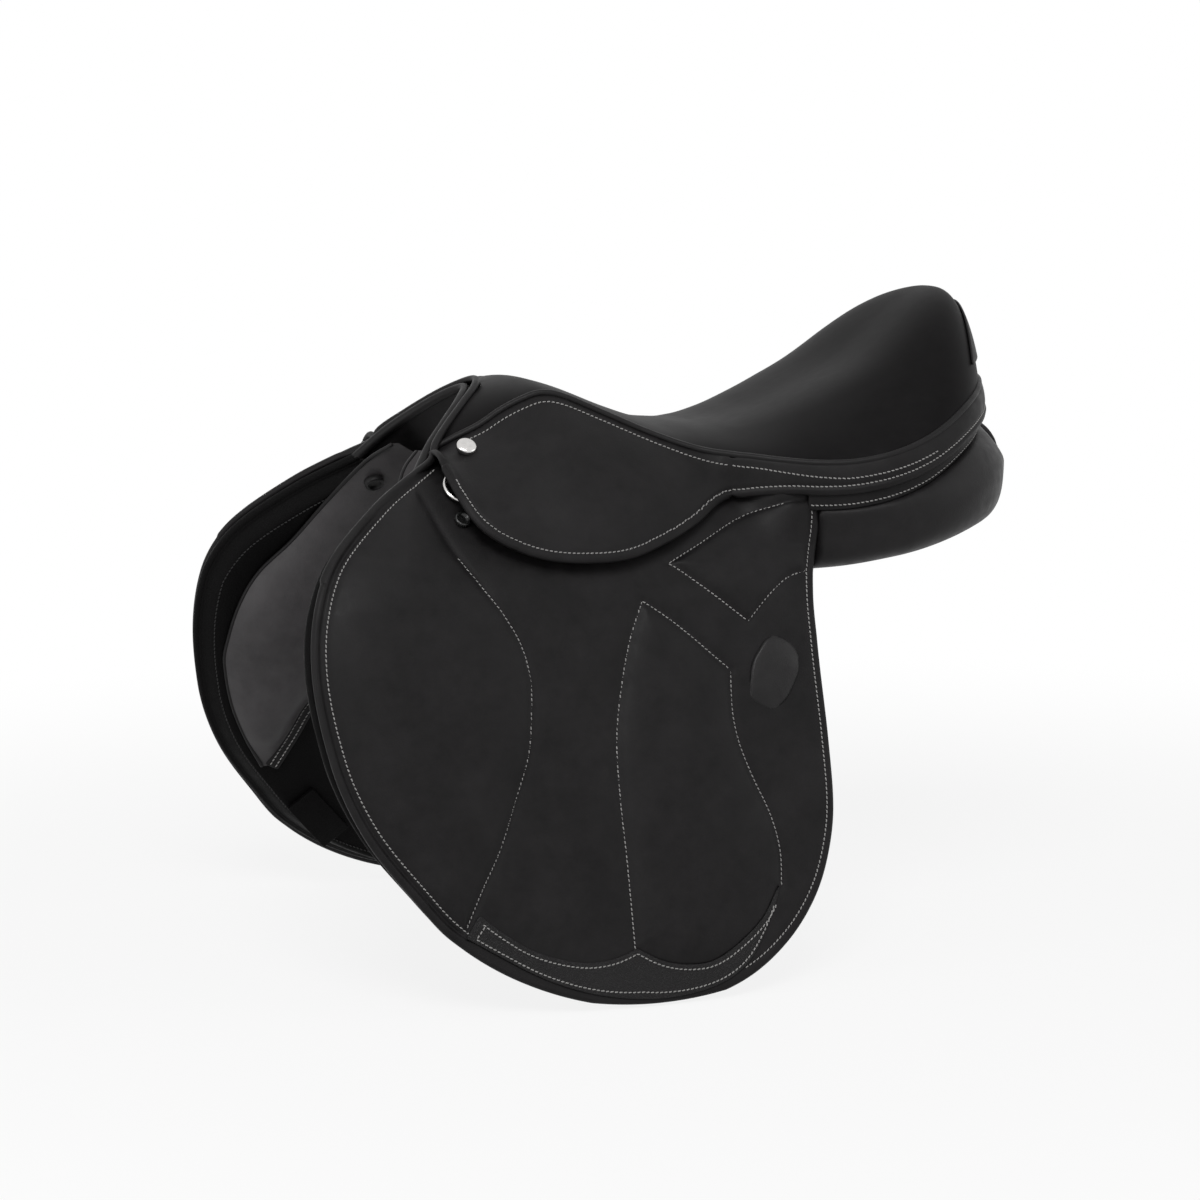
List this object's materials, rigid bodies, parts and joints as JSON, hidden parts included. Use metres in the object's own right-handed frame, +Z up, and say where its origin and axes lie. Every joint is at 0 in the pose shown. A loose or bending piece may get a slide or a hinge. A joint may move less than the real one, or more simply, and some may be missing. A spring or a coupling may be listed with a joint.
{
  "type": "jumping saddle",
  "caption": "Black leather close-contact jumping saddle with padded flaps that lift, skirts over stirrup bars, panels, girth straps and an inner tree.",
  "frame": {"origin": "on the centre plane under the seat's deepest point, level with the rear panels' bearing", "axes": "+X to the cantle (rear), +Y to the off side, +Z up"},
  "size_m": [0.5479, 0.4432, 0.4544],
  "materials": {
    "leather": "waxy matt",
    "seat_leather": "soft matt",
    "grained_leather": "pebbled",
    "panel_leather": "smooth",
    "foam": "open foam",
    "webbing": "woven",
    "tree_plastic": "moulded",
    "steel": "satin",
    "silver": "polished",
    "black_metal": "black"
  },
  "bodies": {
    "saddle_body": {"tree_shell": "tree_plastic", "head_plate": "steel", "gullet_plate": "steel", "tree_point_left": "steel", "tree_point_right": "steel", "spring_rail_left": "steel", "spring_rail_right": "steel", "tree_rivets": "silver", "girth_web_left": "webbing", "girth_web_right": "webbing", "seat_foam": "foam", "seat_cover": "seat_leather", "seat_welt": "leather", "pommel_welt": "leather", "gullet_lining": "grained_leather", "skirt_top_left": "leather", "skirt_top_right": "leather", "cantle_band": "leather", "cantle_strip": "leather", "gusset_band": "leather", "panel_front_left": "panel_leather", "panel_front_right": "panel_leather", "panel_rear_left": "panel_leather", "panel_rear_right": "panel_leather", "sweat_flap_left": "grained_leather", "sweat_flap_right": "grained_leather", "knee_block_left": "panel_leather", "knee_block_right": "panel_leather", "flap_top_left": "leather", "flap_top_right": "leather", "skirt_nails": "silver", "dee_chapes": "leather", "pocket_eyelets": "black_metal", "flap_studs": "black_metal", "stirrup_bar_left": "steel", "stirrup_bar_right": "steel", "catch_pins": "silver", "pad_keepers": "leather"},
    "flap_left": {"flap_left": "leather", "knee_pad_left": "leather", "thigh_pad_left": "leather", "crescent_patch_left": "grained_leather", "badge_patch_left": "leather"},
    "skirt_left": {"skirt_left": "leather"},
    "catch_left": {"bar_catch_left": "steel"},
    "dee_left": {"dee_ring_left": "silver"},
    "strap_left_1": {"girth_strap_left_1": "leather"},
    "strap_left_2": {"girth_strap_left_2": "leather"},
    "guard_left": {"buckle_guard_left": "leather"},
    "flap_right": {"flap_right": "leather", "knee_pad_right": "leather", "thigh_pad_right": "leather", "crescent_patch_right": "grained_leather", "badge_patch_right": "leather"},
    "skirt_right": {"skirt_right": "leather"},
    "catch_right": {"bar_catch_right": "steel"},
    "dee_right": {"dee_ring_right": "silver"},
    "strap_right_1": {"girth_strap_right_1": "leather"},
    "strap_right_2": {"girth_strap_right_2": "leather"},
    "guard_right": {"buckle_guard_right": "leather"}
  },
  "joints": [
    {"name": "flap_lift_right", "type": "hinge", "parent": "saddle_body", "child": "flap_right", "pos_m": [0, 0.13235, 0.022], "axis": [1, 0, 0], "range_deg": [0, 80]},
    {"name": "flap_lift_left", "type": "hinge", "parent": "saddle_body", "child": "flap_left", "pos_m": [0, -0.13235, 0.022], "axis": [-1, 0, 0], "range_deg": [0, 80]},
    {"name": "skirt_lift_right", "type": "hinge", "parent": "saddle_body", "child": "skirt_right", "pos_m": [-0.10704, 0.12732, 0.06363], "axis": [0.9977, -0.008, -0.068], "range_deg": [0, 70]},
    {"name": "skirt_lift_left", "type": "hinge", "parent": "saddle_body", "child": "skirt_left", "pos_m": [-0.10704, -0.12732, 0.06363], "axis": [-0.9977, -0.008, 0.068], "range_deg": [0, 70]},
    {"name": "catch_turn_right", "type": "hinge", "parent": "saddle_body", "child": "catch_right", "pos_m": [-0.06237, 0.10251, 0.07342], "axis": [0, -0.7333, -0.6799], "range_deg": [0, 80]},
    {"name": "catch_turn_left", "type": "hinge", "parent": "saddle_body", "child": "catch_left", "pos_m": [-0.06237, -0.10251, 0.07342], "axis": [0, -0.7333, 0.6799], "range_deg": [0, 80]},
    {"name": "dee_turn_right", "type": "hinge", "parent": "saddle_body", "child": "dee_right", "pos_m": [-0.18979, 0.09319, 0.07687], "axis": [0, 0.6945, -0.7195], "range_deg": [0, 10]},
    {"name": "dee_turn_left", "type": "hinge", "parent": "saddle_body", "child": "dee_left", "pos_m": [-0.18979, -0.09319, 0.07687], "axis": [0, 0.6945, 0.7195], "range_deg": [0, 10]},
    {"name": "strap_swing_right_1", "type": "hinge", "parent": "saddle_body", "child": "strap_right_1", "pos_m": [-0.09712, 0.14064, -0.02856], "axis": [0, 0.9553, 0.2957], "range_deg": [-5, 5]},
    {"name": "strap_swing_left_1", "type": "hinge", "parent": "saddle_body", "child": "strap_left_1", "pos_m": [-0.09712, -0.14064, -0.02856], "axis": [0, 0.9553, -0.2957], "range_deg": [-5, 5]},
    {"name": "strap_swing_right_2", "type": "hinge", "parent": "saddle_body", "child": "strap_right_2", "pos_m": [-0.02712, 0.14064, -0.02856], "axis": [0, 0.9553, 0.2957], "range_deg": [-5, 5]},
    {"name": "strap_swing_left_2", "type": "hinge", "parent": "saddle_body", "child": "strap_left_2", "pos_m": [-0.02712, -0.14064, -0.02856], "axis": [0, 0.9553, -0.2957], "range_deg": [-5, 5]},
    {"name": "guard_slide_right", "type": "slide", "parent": "strap_right_1", "child": "guard_right", "axis": [0, -0.2957, 0.9553], "range_m": [0, 0.03]},
    {"name": "guard_slide_left", "type": "slide", "parent": "strap_left_1", "child": "guard_left", "axis": [0, 0.2957, 0.9553], "range_m": [0, 0.03]}
  ]
}
